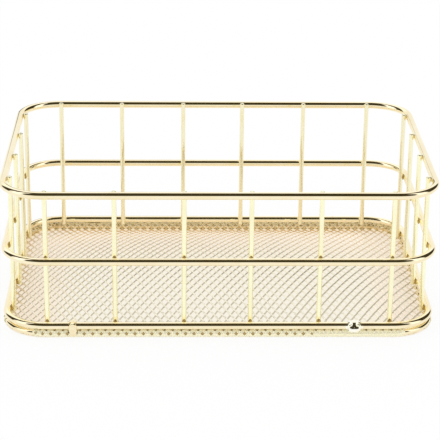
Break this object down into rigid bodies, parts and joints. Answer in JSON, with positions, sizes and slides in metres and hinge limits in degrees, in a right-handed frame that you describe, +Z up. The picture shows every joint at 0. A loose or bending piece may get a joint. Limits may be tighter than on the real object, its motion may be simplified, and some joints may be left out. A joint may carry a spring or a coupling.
{
  "type": "wire mesh storage basket",
  "caption": "Open rectangular storage basket of polished gold wire: rounded rings tied by welded uprights, on a slightly swelled diamond-mesh floor rolled round its own lower ring.",
  "frame": {"origin": "on the resting plane, under the middle of the basket", "axes": "+X along the long side, to the right seen from the front; +Y from the front to the rear; +Z up"},
  "size_m": [0.2546, 0.1772, 0.0898],
  "materials": {
    "ring_wire": "polished pale gold plating on steel wire",
    "upright_wire": "polished pale gold plating on thin steel wire",
    "mesh": "satin pale gold plating on slit and stretched steel sheet",
    "weld": "polished pale gold plating over a weld bead"
  },
  "bodies": {
    "root": {"rim_ring": "ring_wire", "middle_ring": "ring_wire", "base_ring": "ring_wire", "floor_ring": "ring_wire", "mesh_floor": "mesh", "front_upright_1": "upright_wire", "front_upright_2": "upright_wire", "front_upright_3": "upright_wire", "front_upright_4": "upright_wire", "front_upright_5": "upright_wire", "front_upright_6": "upright_wire", "rear_upright_1": "upright_wire", "rear_upright_2": "upright_wire", "rear_upright_3": "upright_wire", "rear_upright_4": "upright_wire", "rear_upright_5": "upright_wire", "rear_upright_6": "upright_wire", "left_upright_1": "upright_wire", "left_upright_2": "upright_wire", "left_upright_3": "upright_wire", "left_upright_4": "upright_wire", "right_upright_1": "upright_wire", "right_upright_2": "upright_wire", "right_upright_3": "upright_wire", "right_upright_4": "upright_wire", "front_left_weld": "weld", "front_right_weld": "weld", "rear_left_weld": "weld", "rear_right_weld": "weld"}
  },
  "joints": []
}
